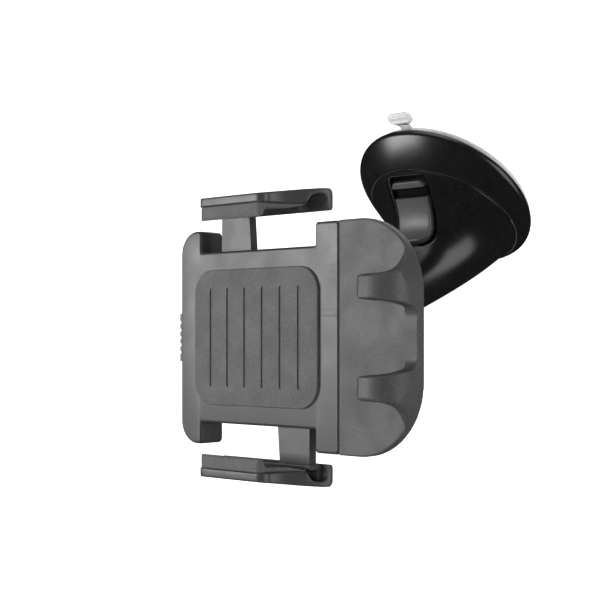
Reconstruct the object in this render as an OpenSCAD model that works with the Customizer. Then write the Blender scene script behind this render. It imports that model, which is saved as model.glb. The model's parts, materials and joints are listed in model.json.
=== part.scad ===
// Windscreen phone mount: a suction base with a flared arm, a ball joint with a locking collar,
// and a cradle whose two side clamps close on the phone while a two-fingered foot holds its end.
// Origin: the middle of the suction face. +X runs along the phone towards the foot, +Y away from
// the driver, +Z up. Millimetres.

/* [Suction base] */
// Angle of the suction face's outward normal above the horizontal, degrees
face_tilt = 50.7; // [48:0.1:53]
// Radius of the dome's rim
rim_r = 33.8; // [33.4:0.1:34.6]
// Radius of the rounding along the dome's rim
rim_round = 2.15; // [1.8:0.05:2.4]
// Height of the rim's rounding centre above the suction face
rim_height = 4.4; // [4.2:0.1:4.8]
// Depth of the dome sphere's centre below the suction face
dome_drop = 27; // [26:0.5:28]
// Wall thickness of the dome
dome_wall = 2.2; // [1.8:0.1:2.4]
// Radius of the seam circle where the arm meets the dome
seam_r = 27.84; // [27.5:0.02:28.1]
// Tilt of the seam's plane from the suction face, degrees
seam_tilt = 6.4; // [5.5:0.1:7]
// Radius of the suction pad
pad_r = 32; // [31:0.1:32.4]
// Thickness of the suction pad's rim
pad_thick = 1.6; // [1.2:0.1:1.8]

/* [Arm and ball joint] */
// Distance from the suction face's middle to the phone's middle plane, along Y
reach = 104.3; // [103:0.1:106]
// Drop from the suction face's middle to the phone's centre line, along Z
drop = 54.7; // [54:0.1:56]
// Radius of the ball
ball_r = 8.5; // [8.3:0.1:8.6]
// Radius of the stud's neck
neck_r = 3.6; // [3.2:0.1:3.8]
// Slope of the stud above the horizontal, degrees
stud_slope = 17.85; // [15:0.05:20]
// Radius of the arm's end
arm_end_r = 9; // [8.6:0.1:9.4]
// Wall thickness of the arm
arm_wall = 2.4; // [2:0.1:2.6]

/* [Suction lever] */
// Width of the lever
lever_w = 14.4; // [13.6:0.1:14.8]
// Thickness of the lever's blade
lever_thick = 2.6; // [2.2:0.1:2.8]
// How far the lever swings open, degrees
lever_swing = 75; // [60:1:75]
// Offset of the eccentric from the lever's pivot
throw = 2; // [1.8:0.05:2]
// Gap between the lever and the arm round it
lever_gap = 2; // [1.4:0.1:2.2]

/* [Cradle] */
// Length of the cradle's body along X
body_l = 72; // [71:0.5:74]
// Height of the cradle's body along Z
body_h = 70.4; // [70:0.1:71]
// Wall thickness of the covers
cover_wall = 1.8; // [1.6:0.1:2]
// Radius of the body's left corners
corner_r = 14; // [12:0.5:16]
// Half-width of the notches that the clamps close into
notch_half = 26; // [25.5:0.1:26.5]
// Height of the notches' floor from the middle
notch_z = 28; // [27.8:0.1:28.2]

/* [Clamps] */
// Width of a clamp's front face
clamp_front_w = 29.7; // [28:0.1:31]
// Width of a clamp's root
clamp_root_w = 49; // [47:0.1:49.4]
// Height of the clamp's outer face above the middle, at its front
clamp_out_z = 44.2; // [44:0.1:44.6]
// Width of the phone that the clamps hold at rest
phone_w = 79.2; // [79:0.1:79.4]
// Module of the rack and pinion
gear_module = 1; // [1:1:1]
// Teeth on the pinion
pinion_teeth = 12; // [12:2:12]
// How far a clamp closes in from rest
clamp_in = 11; // [8:0.5:11]
// How far a clamp opens out from rest
clamp_out = 3; // [1:0.5:3]

/* [Foot] */
// Half-width of the foot's plate
foot_half = 35.2; // [35:0.1:35.4]
// Distance of the foot's outer edge from the ball's middle, along X
foot_x = 67.1; // [66:0.1:68]
// Radius of the foot's two outer corners
foot_corner_r = 22.4; // [20:0.1:23]
// Distance of the fingertips from the ball's middle, along X
finger_tip_x = 54; // [53:0.1:56]
// Depth of the foot's plate
foot_plate = 3; // [2.6:0.1:3]

/* [Hidden] */
$fn = 64;

// Colours
shell_black = "#131417";
satin_black = "#2b2d31";
matt_black = "#3a3b3e";
rubber_grey = "#4a4b4e";
clear_white = "#dfe1e2";
steel = "#b4b8bd";

// Frames: the disc frame has +Z out of the back of the suction disc and +Y towards the pull tab;
// the cradle frame has its origin at the phone's middle plane, on the ball's column.
module at_disc() rotate([90 + face_tilt, 0, 0]) children();
module at_cradle() translate([0, -reach, -drop]) children();

// Direction of the disc frame's Y and Z in the world's Y-Z plane, and a disc point in it
disc_up = [-sin(face_tilt), cos(face_tilt)];
disc_out = [-cos(face_tilt), -sin(face_tilt)];
function from_disc(p) = p[0] * disc_up + p[1] * disc_out;

// A flat outline drawn in X-Z and thickened from y0 to y1
module along_y(y0, y1) translate([0, y1, 0]) rotate([90, 0, 0]) linear_extrude(y1 - y0) children();
// A flat outline drawn in Y-Z and thickened from x0 to x1
module along_x(x0, x1)
    translate([x0, 0, 0]) rotate([90, 0, 90]) linear_extrude(x1 - x0) children();
// A cylinder along +Y from y0 to y1
module rod_y(r, y0, y1) translate([0, y0, 0]) rotate([-90, 0, 0]) cylinder(r = r, h = y1 - y0);
// A cylinder along +X, centred on x = 0
module rod_x(r, w) rotate([0, 90, 0]) cylinder(r = r, h = w, center = true);
// A body of revolution about +Y, from an outline of [radius, y] points
module turned_y(points) rotate([-90, 0, 0]) rotate_extrude() polygon(points);

// Points of an arc about c, from angle a0 to a1 in n steps
function arc(c, r, a0, a1, n) =
    [for (i = [0:n]) let (a = a0 + (a1 - a0) * i / n) c + r * [cos(a), sin(a)]];
function smooth(u) = let (c = min(1, max(0, u))) c * c * (3 - 2 * c);
function bezier(p, t) =
    pow(1 - t, 3) * p[0] + 3 * t * pow(1 - t, 2) * p[1] + 3 * t * t * (1 - t) * p[2] + pow(t, 3) * p[3];

module rounded_rect(w, h, r) {
    square([w, h - 2 * r], center = true);
    square([w - 2 * r, h], center = true);
    for (x = [-1, 1], y = [-1, 1]) translate([x * (w / 2 - r), y * (h / 2 - r)]) circle(r);
}

// A closed skin over a list of rings that all have the same number of points
module skin(rings) {
    n = len(rings[0]);
    last = len(rings) - 1;
    polyhedron(
        points = [for (ring = rings) each ring],
        faces = concat(
            [[for (j = [0:n - 1]) j]],
            [[for (j = [n - 1:-1:0]) last * n + j]],
            [for (i = [0:last - 1], j = [0:n - 1]) let (k = (j + 1) % n)
                each [[i * n + j, (i + 1) * n + j, (i + 1) * n + k], [i * n + j, (i + 1) * n + k, i * n + k]]]
        )
    );
}

// A round wire wound as a helix about +Z, from z = 0 to z = h
module coil(r, wire, h, turns, sides = 6, steps = 12) {
    skin([for (i = [0:turns * steps])
        let (a = 360 * i / steps, z = wire + (h - 2 * wire) * i / (turns * steps))
        [for (j = [0:sides - 1]) let (b = -360 * j / sides)
            [(r + wire * cos(b)) * cos(a), (r + wire * cos(b)) * sin(a), z + wire * sin(b)]]]);
}

// ---- Suction base ----
dome_r = norm([rim_r - rim_round, rim_height + dome_drop]) + rim_round;
seam_offset = sqrt(dome_r * dome_r - seam_r * seam_r);
rim_angle = atan2(rim_height + dome_drop, rim_r - rim_round);
chassis_r = 27;
screw_ring_r = 20;
screw_angles = [20, 160, 270];
screw_r = 1.08;
screw_head_r = 2.4;
screw_boss_w = 5.6;
screw_boss_z = 8.6;
pivot = [1.8, 23.2];
pin_r = 0.9;
cam_r = 3;
ear_r = 1.95;
ear_x = 5.7;
ear_w = 1.8;
strap_r = 4.5;
stem_r = 2.5;
cam_angle = 180 - lever_swing / 2;
cam = pivot + throw * [cos(cam_angle), sin(cam_angle)];
plunger_stroke = 2 * throw * sin(lever_swing / 2);

// The half-space above the seam's plane, in the disc frame
module above_seam() translate([0, 0, -dome_drop]) rotate([seam_tilt, 0, 0])
    translate([0, 0, seam_offset]) cylinder(r = 60, h = 60);

module suction_pad() color(clear_white) at_disc() {
    rotate_extrude() polygon(concat(
        [[0, 0]], arc([pad_r - pad_thick / 2, pad_thick / 2], pad_thick / 2, -90, 90, 8),
        [[26, 1.9], [14, 2], [0, 2]]
    ));
    pull_tab();
}

// The pull tab: a short stem that ends in a bar with two round lobes
module pull_tab() translate([1, 0, 0.15]) linear_extrude(1.3) {
    polygon([[-3.7, 29], [3.7, 29], [2.1, 35.4], [-2.1, 35.4]]);
    translate([-2.8, 34.6]) square([5.6, 4.8]);
    for (x = [-2.8, 2.8]) translate([x, 37]) circle(2.4);
}

module base_dome() color(shell_black) at_disc() difference() {
    rotate_extrude() polygon(concat(
        arc([rim_r - rim_round, rim_height], rim_round, -90, rim_angle, 10),
        arc([0, -dome_drop], dome_r, rim_angle, 52, 12),
        arc([0, -dome_drop], dome_r - dome_wall, 52, 49, 2),
        [[chassis_r + 1.2, 6], [chassis_r + 1.2, rim_height - rim_round]]
    ));
    above_seam();
}

// ---- Arm: its top and bottom lines are two curves in the plane of symmetry, and every section
// is a circle whose diameter joins them.
ball_at = [27.7 - reach, -drop];
stud_dir = [cos(stud_slope), sin(stud_slope)];
stud_up = [-sin(stud_slope), cos(stud_slope)];
stud_core_r = 3;
nut_at = 28.6;
nut_h = 3.6;
arm_end = 18.5;
seam_mid = [-seam_offset * sin(seam_tilt), seam_offset * cos(seam_tilt) - dome_drop];
seam_side = [cos(seam_tilt), sin(seam_tilt)];
seam_top = seam_mid + seam_r * seam_side;
seam_low = seam_mid - seam_r * seam_side;
end_mid = ball_at + arm_end * stud_dir;
arm_top = [
    from_disc(seam_top), from_disc(seam_top + [-16.2, 9.9]),
    end_mid + arm_end_r * stud_up + 57.5 * stud_dir, end_mid + arm_end_r * stud_up
];
arm_low = [
    from_disc(seam_low), from_disc(seam_low + [1.5, 1.4]),
    end_mid - arm_end_r * stud_up + 74.5 * stud_dir, end_mid - arm_end_r * stud_up
];
function arm_ring(t, inset, n) =
    let (u = bezier(arm_top, t), l = bezier(arm_low, t), c = (u + l) / 2, s = (u - l) / norm(u - l),
         r = norm(u - l) / 2 - inset)
    [for (j = [0:n - 1]) let (a = 360 * j / n)
        [r * cos(a), c[0] + r * sin(a) * s[0], c[1] + r * sin(a) * s[1]]];
function shifted(ring, v) = [for (p = ring) p + v];
seam_normal = from_disc([-sin(seam_tilt), cos(seam_tilt)]);

// Depth below the arm's top line of a point on the lever, in the world's Y-Z plane
function top_inset(t, d) =
    let (p = bezier(arm_top, t), q = bezier(arm_top, t + 0.004), v = (q - p) / norm(q - p))
    p + d * [-v[1], v[0]];
lever_from = 0.075;
lever_to = 0.545;
slot_from = 0.03;
slot_to = 0.6;

module arm_housing() color(shell_black) difference() {
    union() {
        difference() {
            skin([for (i = [0:30]) arm_ring(pow(i / 30, 1.15), 0, 48)]);
            skin(concat(
                [shifted(arm_ring(0, arm_wall, 32), -2 * [0, seam_normal[0], seam_normal[1]])],
                [for (i = [0:18]) arm_ring(0.955 * i / 18, arm_wall, 32)]
            ));
        }
        // the screw bosses; the lowest one reaches further, to the wall
        at_disc() for (a = screw_angles) rotate(a) translate([screw_ring_r - screw_boss_w / 2, -screw_boss_w / 2, screw_boss_z])
            cube([a == 270 ? 11.5 : 4.9, screw_boss_w, 5]);
    }
    at_disc() for (a = screw_angles) rotate(a) translate([screw_ring_r, 0, 8]) cylinder(r = screw_r + 0.02, h = 4);
    // the window that the lever lies in
    along_x(-lever_w / 2 - lever_gap, lever_w / 2 + lever_gap) polygon(concat(
        [for (i = [0:10]) top_inset(slot_from + (slot_to - slot_from) * i / 10, -4)],
        [for (i = [10:-1:0]) top_inset(slot_from + (slot_to - slot_from) * i / 10, 5)]
    ));
    // the stud's hole through the end wall
    on_stud() cylinder(r = stud_core_r + 0.05, h = 60);
}

// The ball's middle, with +Z along the stud
module on_stud() translate([0, ball_at[0], ball_at[1]]) rotate([stud_slope - 90, 0, 0]) children();

// A cup that carries the plunger's guide and, on two ears, the lever's pin
module inner_chassis() color(matt_black) at_disc() difference() {
    union() {
        rotate_extrude() polygon([
            [11.4, 6.6], [chassis_r, 6.6], [chassis_r, 8.4], [13, 8.4], [13, 12.6], [5, 12.6], [5, 17.2],
            [stem_r + 0.06, 17.2], [stem_r + 0.06, 11], [11.4, 11]
        ]);
        for (x = [-1, 1]) translate([x * ear_x, 0, 0]) along_x(-ear_w / 2, ear_w / 2) {
            translate(pivot) circle(ear_r);
            translate([pivot[0] - ear_r, 11.8]) square([2 * ear_r, pivot[1] - 11.8]);
        }
    }
    translate([0, pivot[0], pivot[1]]) rod_x(pin_r + 0.02, 16);
    for (a = screw_angles) rotate(a) translate([screw_ring_r, 0, 6]) cylinder(r = 1.5, h = 4);
}

module base_screws() color(steel) at_disc() for (a = screw_angles) rotate(a)
    translate([screw_ring_r, 0, 0]) difference() {
        union() {
            translate([0, 0, 5.2]) cylinder(r = screw_head_r, h = 1.4);
            translate([0, 0, 6.5]) cylinder(r = screw_r, h = 4.9);
        }
        translate([0, 0, 5.1]) cylinder(r = 1.1, h = 0.8, $fn = 6);
    }

// ---- Lever, pin and plunger ----
module suction_lever() color(satin_black) difference() {
    union() {
        along_x(-lever_w / 2, lever_w / 2) difference() {
            polygon(concat(
                [for (i = [0:12]) top_inset(lever_from + (lever_to - lever_from) * i / 12, 0.1)],
                [for (i = [12:-1:0]) top_inset(lever_from + (lever_to - lever_from) * i / 12, lever_thick)]
            ));
            // the finger groove under the lip
            translate(top_inset(lever_from + 0.075, -0.2)) circle(1.75);
        }
        at_disc() {
            translate([0, pivot[0], pivot[1]]) rod_x(3, 9.4);
            // the rib that joins the hub to the blade
            along_x(-4.7, 4.7) polygon([pivot + [-0.5, -2.9], [9.4, 17.8], [8.4, 21.6], pivot + [2.4, 1.8]]);
        }
    }
    at_disc() {
        translate([0, pivot[0], pivot[1]]) rod_x(pin_r + 0.04, 20);
        // room for the plunger's strap, which rides on the eccentric
        difference() {
            for (z = [0, -plunger_stroke]) translate([0, 0, cam[1] + z]) rod_x(strap_r + 0.4, 5.6);
            translate([0, cam[0], cam[1]]) rod_x(cam_r, 6);
        }
    }
}

module lever_pin() color(steel) at_disc() translate([0, pivot[0], pivot[1]]) rod_x(pin_r, 13.2);

module suction_plunger() color(steel) at_disc() {
    difference() {
        union() {
            translate([0, 0, 4.9]) cylinder(r = 10.6, h = 1.4);
            translate([0, 0, 5]) cylinder(r = stem_r, h = cam[1] - 5);
            translate([0, 0, cam[1]]) rod_x(strap_r, 4.2);
        }
        for (y = [-0.28, 0.28]) translate([0, y, cam[1]]) rod_x(cam_r + 0.08, 10);
        translate([-5, -0.28, cam[1] - cam_r - 0.08]) cube([10, 0.56, 2 * cam_r + 0.16]);
    }
}

module plunger_spring() color(steel) at_disc() translate([0, 0, 6.35])
    coil(7.6, 0.5, 4.4, 2.5, 8, 24);

// ---- Ball joint ----
module ball_stud() color(steel) on_stud() difference() {
    union() {
        sphere(r = ball_r);
        cylinder(r = neck_r, h = arm_end - 0.02);
        cylinder(r = stud_core_r, h = nut_at + nut_h + 1.4);
    }
    translate([0, 0, -ball_r - 1]) cylinder(r = 3, h = 2, $fn = 6);
}

module stud_nut() color(steel) on_stud() translate([0, 0, nut_at]) difference() {
    cylinder(r = 5.2, h = nut_h, $fn = 6);
    translate([0, 0, -1]) cylinder(r = stud_core_r + 0.02, h = nut_h + 2);
}

// The ball joint's pieces are turned about the cup's axis, +Y; y is measured from the ball's middle
module at_ball() at_cradle() translate([0, 27.7, 0]) children();
liner_r = 10.25;
cup_in_r = 10.35;
cup_out_r = 12.6;

module ball_liner() color(matt_black) at_ball() difference() {
    sphere(r = liner_r);
    sphere(r = ball_r + 0.06);
    rod_y(30, 4.8, 30);
    rod_y(30, -30, -7.6);
    // slits that let the liner grip the ball
    for (a = [45:90:315]) rotate([0, a, 0]) translate([6, -4, -0.5]) cube([8, 20, 1]);
}

module socket_cup() color(shell_black) at_ball() difference() {
    turned_y(concat(
        [[0, -15.1], [13.4, -15.1], [13.4, -13.9], [9, -13.9], [9, -11.4], [cup_out_r, -8.4],
         [cup_out_r, 4], [9.6, 4]],
        arc([0, 0], cup_in_r, 18, -90, 14)
    ));
    // slits that let the cup close on the ball as the collar is turned
    for (a = [0, 90]) rotate([0, a, 0]) translate([-20, -2.5, -0.6]) cube([40, 20, 1.2]);
}

module locking_collar() color(shell_black) at_ball() difference() {
    union() {
        turned_y([[12.72, -6], [14.9, -6], [15.2, -5.4], [15.2, 4.6], [14, 6], [10.9, 6], [10.9, 5.2], [12.72, 4.3]]);
        for (a = [0:20:340]) rotate([0, a, 0]) translate([15, 0, 0]) rod_y(0.9, -5, 4.2);
    }
    for (a = [10:20:350]) rotate([0, a, 0]) translate([15.9, 0, 0]) rod_y(1.3, -7, 7);
}

// ---- Cradle body ----
pad_y = 4.3;
front_y = 5.2;
split_y = 10.7;
back_y = 15.9;
slide_y = [7.3, 8.9];
rack_y = [9.2, 12.2];
boss_at = [31, 29];
boss_r = 2.7;
gear_pin_r = 1.48;
cradle_screw_r = 1.08;

module body_outline(inset) difference() {
    union() {
        rounded_rect(body_l - 2 * inset, body_h - 2 * inset, corner_r - inset);
        translate([0, inset - body_h / 2]) square([body_l / 2 - inset, body_h - 2 * inset]);
    }
    for (s = [-1, 1]) scale([1, s]) translate([-notch_half - inset, notch_z - inset])
        square([2 * (notch_half + inset), body_h]);
}

// Everything that passes through the body's walls
module body_openings() {
    // the clamps' racks
    for (a = [0, 180]) rotate([0, a, 0]) translate([-20.4, rack_y[0] - 0.25, 20])
        cube([15.6, rack_y[1] - rack_y[0] + 0.5, 20]);
    // the foot's rails
    for (s = [-1, 1]) translate([30, slide_y[0] - 0.25, s * rail_z - rail_w / 2 - 0.3])
        cube([10, 2.1, rail_w + 0.6]);
    // the release button
    translate([-40, 7.2, -8.3]) cube([8, 5.8, 16.6]);
}

module cradle_front_cover() color(satin_black) at_cradle() difference() {
    union() {
        along_y(front_y, 7) body_outline(0);
        along_y(6.5, split_y) difference() {
            body_outline(0);
            body_outline(cover_wall);
        }
        for (x = [-1, 1], z = [-1, 1]) translate([x * boss_at[0], 0, z * boss_at[1]]) rod_y(boss_r, 6.5, split_y);
        // the post that the button's spring pushes on
        translate([-24.6, 6.5, 5.4]) cube([1.6, 4, 3.4]);
    }
    body_openings();
    for (x = [-1, 1], z = [-1, 1]) translate([x * boss_at[0], 0, z * boss_at[1]]) rod_y(cradle_screw_r + 0.02, 6.6, 12);
    rod_y(gear_pin_r + 0.02, 5.9, 8);
}

module cradle_back_cover() color(satin_black) at_cradle() difference() {
    union() {
        along_y(14, back_y) body_outline(0);
        along_y(split_y, 14.5) difference() {
            body_outline(0);
            body_outline(cover_wall);
        }
        for (x = [-1, 1], z = [-1, 1]) translate([x * boss_at[0], 0, z * boss_at[1]]) rod_y(boss_r, split_y, 15);
        // a post for each opening spring
        for (a = [0, 180]) rotate([0, a, 0]) translate([-15.1, 9.4, -8]) cube([2.2, 5, 2]);
    }
    body_openings();
    rod_y(9.06, 10, 20);
    for (x = [-1, 1], z = [-1, 1]) translate([x * boss_at[0], 0, z * boss_at[1]]) {
        rod_y(1.4, 10, 20);
        rod_y(2.3, 14.3, 20);
    }
}

module cradle_pad() color(rubber_grey) at_cradle() difference() {
    along_y(pad_y, front_y) rounded_rect(56, 44, 8);
    for (x = [-20:8:20]) translate([x - 0.6, pad_y - 1, -16]) cube([1.2, 1.4, 32]);
}

module cradle_screws() color(steel) at_cradle()
    for (x = [-1, 1], z = [-1, 1]) translate([x * boss_at[0], 0, z * boss_at[1]]) difference() {
        union() {
            rod_y(2.1, 14.3, 15.5);
            rod_y(cradle_screw_r, 7.6, 14.4);
        }
        translate([0, 15.6, 0]) rotate([90, 0, 0]) cylinder(r = 1, h = 0.8, $fn = 6);
    }

module gear_pin() color(steel) at_cradle() rod_y(gear_pin_r, 5.9, 12.3);

// ---- Rack and pinion ----
pitch_r = gear_module * pinion_teeth / 2;
base_r = pitch_r * cos(20);
backlash = 0.16;
function involute(a) = tan(a) * 180 / PI - a;
// Half the angle of a pinion tooth at radius r
function tooth_half(r) =
    (PI * gear_module / 2 - backlash) / 2 / pitch_r * 180 / PI + involute(20)
    - (r > base_r ? involute(acos(base_r / r)) : 0);
pinion_tip = pitch_r + 0.95 * gear_module;
pinion_root = pitch_r - 1.15 * gear_module;
flank_r = [for (i = [0:4]) base_r + (pinion_tip - base_r) * i / 4];

module pinion_outline() polygon([for (k = [0:pinion_teeth - 1]) let (a = 360 * k / pinion_teeth)
    each concat(
        [let (b = a - tooth_half(0)) pinion_root * [cos(b), sin(b)]],
        [for (r = flank_r) let (b = a - tooth_half(r)) r * [cos(b), sin(b)]],
        [for (i = [4:-1:0]) let (r = flank_r[i], b = a + tooth_half(r)) r * [cos(b), sin(b)]],
        [let (b = a + tooth_half(0)) pinion_root * [cos(b), sin(b)]]
    )]);

module clamp_pinion() color(clear_white) at_cradle() difference() {
    union() {
        along_y(rack_y[0], rack_y[1]) pinion_outline();
        // the ratchet wheel that the latch holds
        along_y(slide_y[0], rack_y[0]) polygon([for (k = [0:23]) each [
            7.5 * [cos(15 * k), sin(15 * k)], 6.7 * [cos(15 * k + 3), sin(15 * k + 3)]
        ]]);
    }
    rod_y(gear_pin_r + 0.04, 0, 20);
}

// The rack's toothed edge, along Z at x = -pitch_r, teeth towards +X
rack_from = -9;
rack_to = 18;
rack_half = (PI * gear_module / 2 - backlash) / 2;
module rack_outline() {
    tip_x = -pitch_r + 0.7 * gear_module;
    root_x = -pitch_r - 1.1 * gear_module;
    slope = tan(20);
    for (k = [ceil(rack_from / PI - 0.5) : floor(rack_to / PI - 0.5)]) let (z = (k + 0.5) * PI * gear_module)
        polygon([
            [root_x - 0.1, z - rack_half - slope * 1.1], [tip_x, z - rack_half + slope * 0.7],
            [tip_x, z + rack_half - slope * 0.7], [root_x - 0.1, z + rack_half + slope * 1.1]
        ]);
    translate([-20, -14.5]) square([20 + root_x, 55.5]);
}

// ---- Clamps: the upper one is drawn, and the lower one is the same moulding turned half round ----
clamp_y = [-6.5, 15];
function clamp_half(y) =
    clamp_front_w / 2 + (clamp_root_w - clamp_front_w) / 2 * smooth((y + 3.5) / (clamp_y[1] + 3.5));
clamp_steps = 12;
// Plan outline of a clamp, drawn in X-Y; its front corners are rounded by r
module clamp_plan(inset, y0, y1, r) {
    side = [for (i = [0:clamp_steps]) let (y = y0 + r + (y1 - y0 - r) * i / clamp_steps) [clamp_half(y) - inset, y]];
    corner = arc([clamp_half(y0) - inset - r, y0 + r], r, -90, 0, 6);
    right = concat(corner, side);
    polygon(concat(right, [for (i = [len(right) - 1:-1:0]) [-right[i][0], right[i][1]]]));
}

module clamp_arm() color(satin_black) {
    intersection() {
        translate([0, 0, 30]) linear_extrude(20) clamp_plan(0, clamp_y[0], clamp_y[1], 3);
        along_x(-30, 30) polygon([
            [-6.5, 41.2], [-6.5, clamp_out_z - 0.4], [-6.1, clamp_out_z], [0, clamp_out_z + 0.8],
            [6.5, clamp_out_z + 1.6], [12, clamp_out_z + 2.1], [14.2, clamp_out_z + 2.1],
            [15, clamp_out_z + 1.3], [15, 39.4], [13.2, 39.4], [13.2, 43.2], [12, 44.4], [10, 44.4],
            [8.4, 43.8], [7.5, 42.4], [7.4, 41.2]
        ]);
    }
    // the rib that ties the shell to the rack
    difference() {
        translate([-21, 8.4, 39.4]) cube([37, 5, 5.4]);
        translate([-18, 7, 41]) cube([31, 4.6, 1.8]);
    }
    difference() {
        along_y(rack_y[0], rack_y[1]) rack_outline();
        // the slot that the opening spring works in
        translate([-15.9, 0, -12]) cube([3.8, 20, 40]);
    }
}

module clamp_pad() color(rubber_grey) intersection() {
    translate([0, 0, 30]) linear_extrude(20) clamp_plan(0.8, -6.4, 7.3, 2.4);
    along_x(-30, 30) polygon([
        [-6.4, 41.2], [-6.4, 37.4], [-5.9, 36.9], [-4.7, 37.3], [-4.4, 38.8], [-3, phone_w / 2 + 0.2],
        [3, phone_w / 2 + 0.3], [7.3, phone_w / 2 + 1.3], [7.3, 41.2]
    ]);
}

module half_turn() rotate([0, 180, 0]) children();
module upper_clamp_arm() at_cradle() clamp_arm();
module lower_clamp_arm() at_cradle() half_turn() clamp_arm();
module upper_clamp_pad() at_cradle() clamp_pad();
module lower_clamp_pad() at_cradle() half_turn() clamp_pad();

module opening_spring() color(steel) translate([-14, 10.7, -5.98]) coil(1.15, 0.2, 33.9, 16, 6, 10);
module upper_opening_spring() at_cradle() opening_spring();
module lower_opening_spring() at_cradle() half_turn() opening_spring();

// ---- Release button with its latch frame round the ratchet wheel ----
module release_button() color(satin_black) at_cradle() {
    difference() {
        translate([-39, 7.4, -8]) cube([6, 5.4, 16]);
        for (z = [-5:2.5:5]) translate([-40, 7, z - 0.4]) cube([1.6, 7, 0.8]);
    }
    along_y(slide_y[0], slide_y[1]) {
        translate([-34, -4]) square([22, 8]);
        difference() {
            translate([-13, -10.6]) square([25.8, 21.2]);
            translate([-11, -8.4]) square([21.6, 16.8]);
        }
        polygon([[10.8, -1.6], [7.9, -0.3], [7.9, 0.3], [10.8, 1.6]]);
    }
}

module button_spring() color(steel) at_cradle() translate([-33.02, 9.5, 7]) rotate([0, 90, 0])
    coil(1.3, 0.25, 5.6, 5, 6, 10);

// ---- Foot ----
finger_in = [9.2, 11.1];
scoop_r = 12;
scoop_at = [-7.5, 30];
plate_y = [4.5, 4.5 + foot_plate];
rail_z = 15;
rail_w = 6;
hook_bend = 9;
hook_in_at = [foot_x - hook_bend - 0.3, 0.2];
hook_in_r = 5;
finger_pad_z = 14.2;
finger_pad_w = 6;

// Outline of the foot's plate in X-Z: straight towards the body, two round corners outside
module foot_plate_outline() {
    straight = foot_half - foot_corner_r;
    corner = arc([foot_x - foot_corner_r, straight], foot_corner_r, 90, 0, 14);
    polygon(concat(
        [[36.6, -foot_half], [36.6, foot_half]], corner,
        [for (i = [len(corner) - 1:-1:0]) [corner[i][0], -corner[i][1]]]
    ));
}

// Side view of a finger in X-Y: a hook that bends up from the plate's outer edge
module finger_profile() polygon(concat(
        [[foot_x, 7]], arc([foot_x - hook_bend, 1], hook_bend, 0, -90, 12),
        [[finger_tip_x + 0.7, -8], [finger_tip_x, -7.2], [finger_tip_x - 0.3, -6.2], [finger_tip_x + 0.4, -5.2]],
        arc(hook_in_at, hook_in_r, -90, 0, 8), [[hook_in_at[0] + hook_in_r, 7]]
    ));

module foot_bracket() color(matt_black) at_cradle() {
    along_y(plate_y[0], plate_y[1]) foot_plate_outline();
    for (s = [-1, 1]) {
        intersection() {
            translate([0, 0, -40]) linear_extrude(80) finger_profile();
            along_x(40, 70) finger_side(s);
            along_y(-20, 7.4) foot_plate_outline();
        }
        // a rail that slides in the body, and the step that joins it to the plate
        translate([-8, slide_y[0], s * rail_z - rail_w / 2])
            cube([46, slide_y[1] - slide_y[0], rail_w]);
        translate([36.6, 7, s * rail_z - rail_w / 2 - 2]) cube([7, slide_y[1] - 7, rail_w + 4]);
    }
}

// View of a finger along X, in Y-Z, from its tip to the plate
module finger_side(side) {
    fillet = 3.4;
    outline = concat(
        [[-8, finger_in[1]], [plate_y[0] - fillet, finger_in[0]]],
        [for (i = [1:6]) let (a = 90 * i / 6)
            [plate_y[0] - fillet + fillet * sin(a), finger_in[0] - fillet + fillet * cos(a)]],
        [[6.6, finger_in[0] - fillet], [6.6, scoop_at[1]]],
        [for (i = [0:10]) let (a = 90 * (1 - i / 10) + 2.4 * i / 10)
            [scoop_at[0] + scoop_r * sin(a), scoop_at[1] - scoop_r * cos(a)]],
        [[-8, 17.1]]
    );
    polygon([for (p = outline) [p[0], side * p[1]]]);
}

// Soft strips inside the fingers, where they meet the phone's end
module finger_pads() color(rubber_grey) at_cradle() for (s = [-1, 1])
    translate([0, 0, s * finger_pad_z - finger_pad_w / 2]) linear_extrude(finger_pad_w) polygon(concat(
        [[hook_in_at[0] + 2.6, -3.3], [hook_in_at[0] + 2.6, 3.9], [hook_in_at[0] + hook_in_r - 0.05, 3.9]],
        arc(hook_in_at - [0.05, 0], hook_in_r, 0, -40, 4)
    ));

suction_pad();
base_dome();
arm_housing();
inner_chassis();
base_screws();
suction_lever();
lever_pin();
suction_plunger();
plunger_spring();
ball_stud();
stud_nut();
ball_liner();
socket_cup();
locking_collar();
cradle_front_cover();
cradle_back_cover();
cradle_pad();
cradle_screws();
gear_pin();
clamp_pinion();
upper_clamp_arm();
upper_clamp_pad();
lower_clamp_arm();
lower_clamp_pad();
upper_opening_spring();
lower_opening_spring();
release_button();
button_spring();
foot_bracket();
finger_pads();
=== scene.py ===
import json
import math

import bmesh
import bpy
import numpy as np
from mathutils import Matrix


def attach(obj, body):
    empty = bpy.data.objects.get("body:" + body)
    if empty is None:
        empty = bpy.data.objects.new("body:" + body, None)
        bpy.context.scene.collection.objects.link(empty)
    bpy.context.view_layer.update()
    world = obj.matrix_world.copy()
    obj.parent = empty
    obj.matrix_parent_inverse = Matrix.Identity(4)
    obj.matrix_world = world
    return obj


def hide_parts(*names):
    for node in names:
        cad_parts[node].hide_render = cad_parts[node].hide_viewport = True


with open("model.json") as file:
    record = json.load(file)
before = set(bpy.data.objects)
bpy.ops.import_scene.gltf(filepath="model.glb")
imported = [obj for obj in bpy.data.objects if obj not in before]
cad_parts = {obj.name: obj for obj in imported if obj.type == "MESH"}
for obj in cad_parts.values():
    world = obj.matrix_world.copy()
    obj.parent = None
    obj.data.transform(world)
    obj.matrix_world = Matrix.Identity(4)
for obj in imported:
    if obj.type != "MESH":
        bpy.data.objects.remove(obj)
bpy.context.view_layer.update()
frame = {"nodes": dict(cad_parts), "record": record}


nodes = frame["nodes"]
scene = bpy.context.scene

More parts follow.
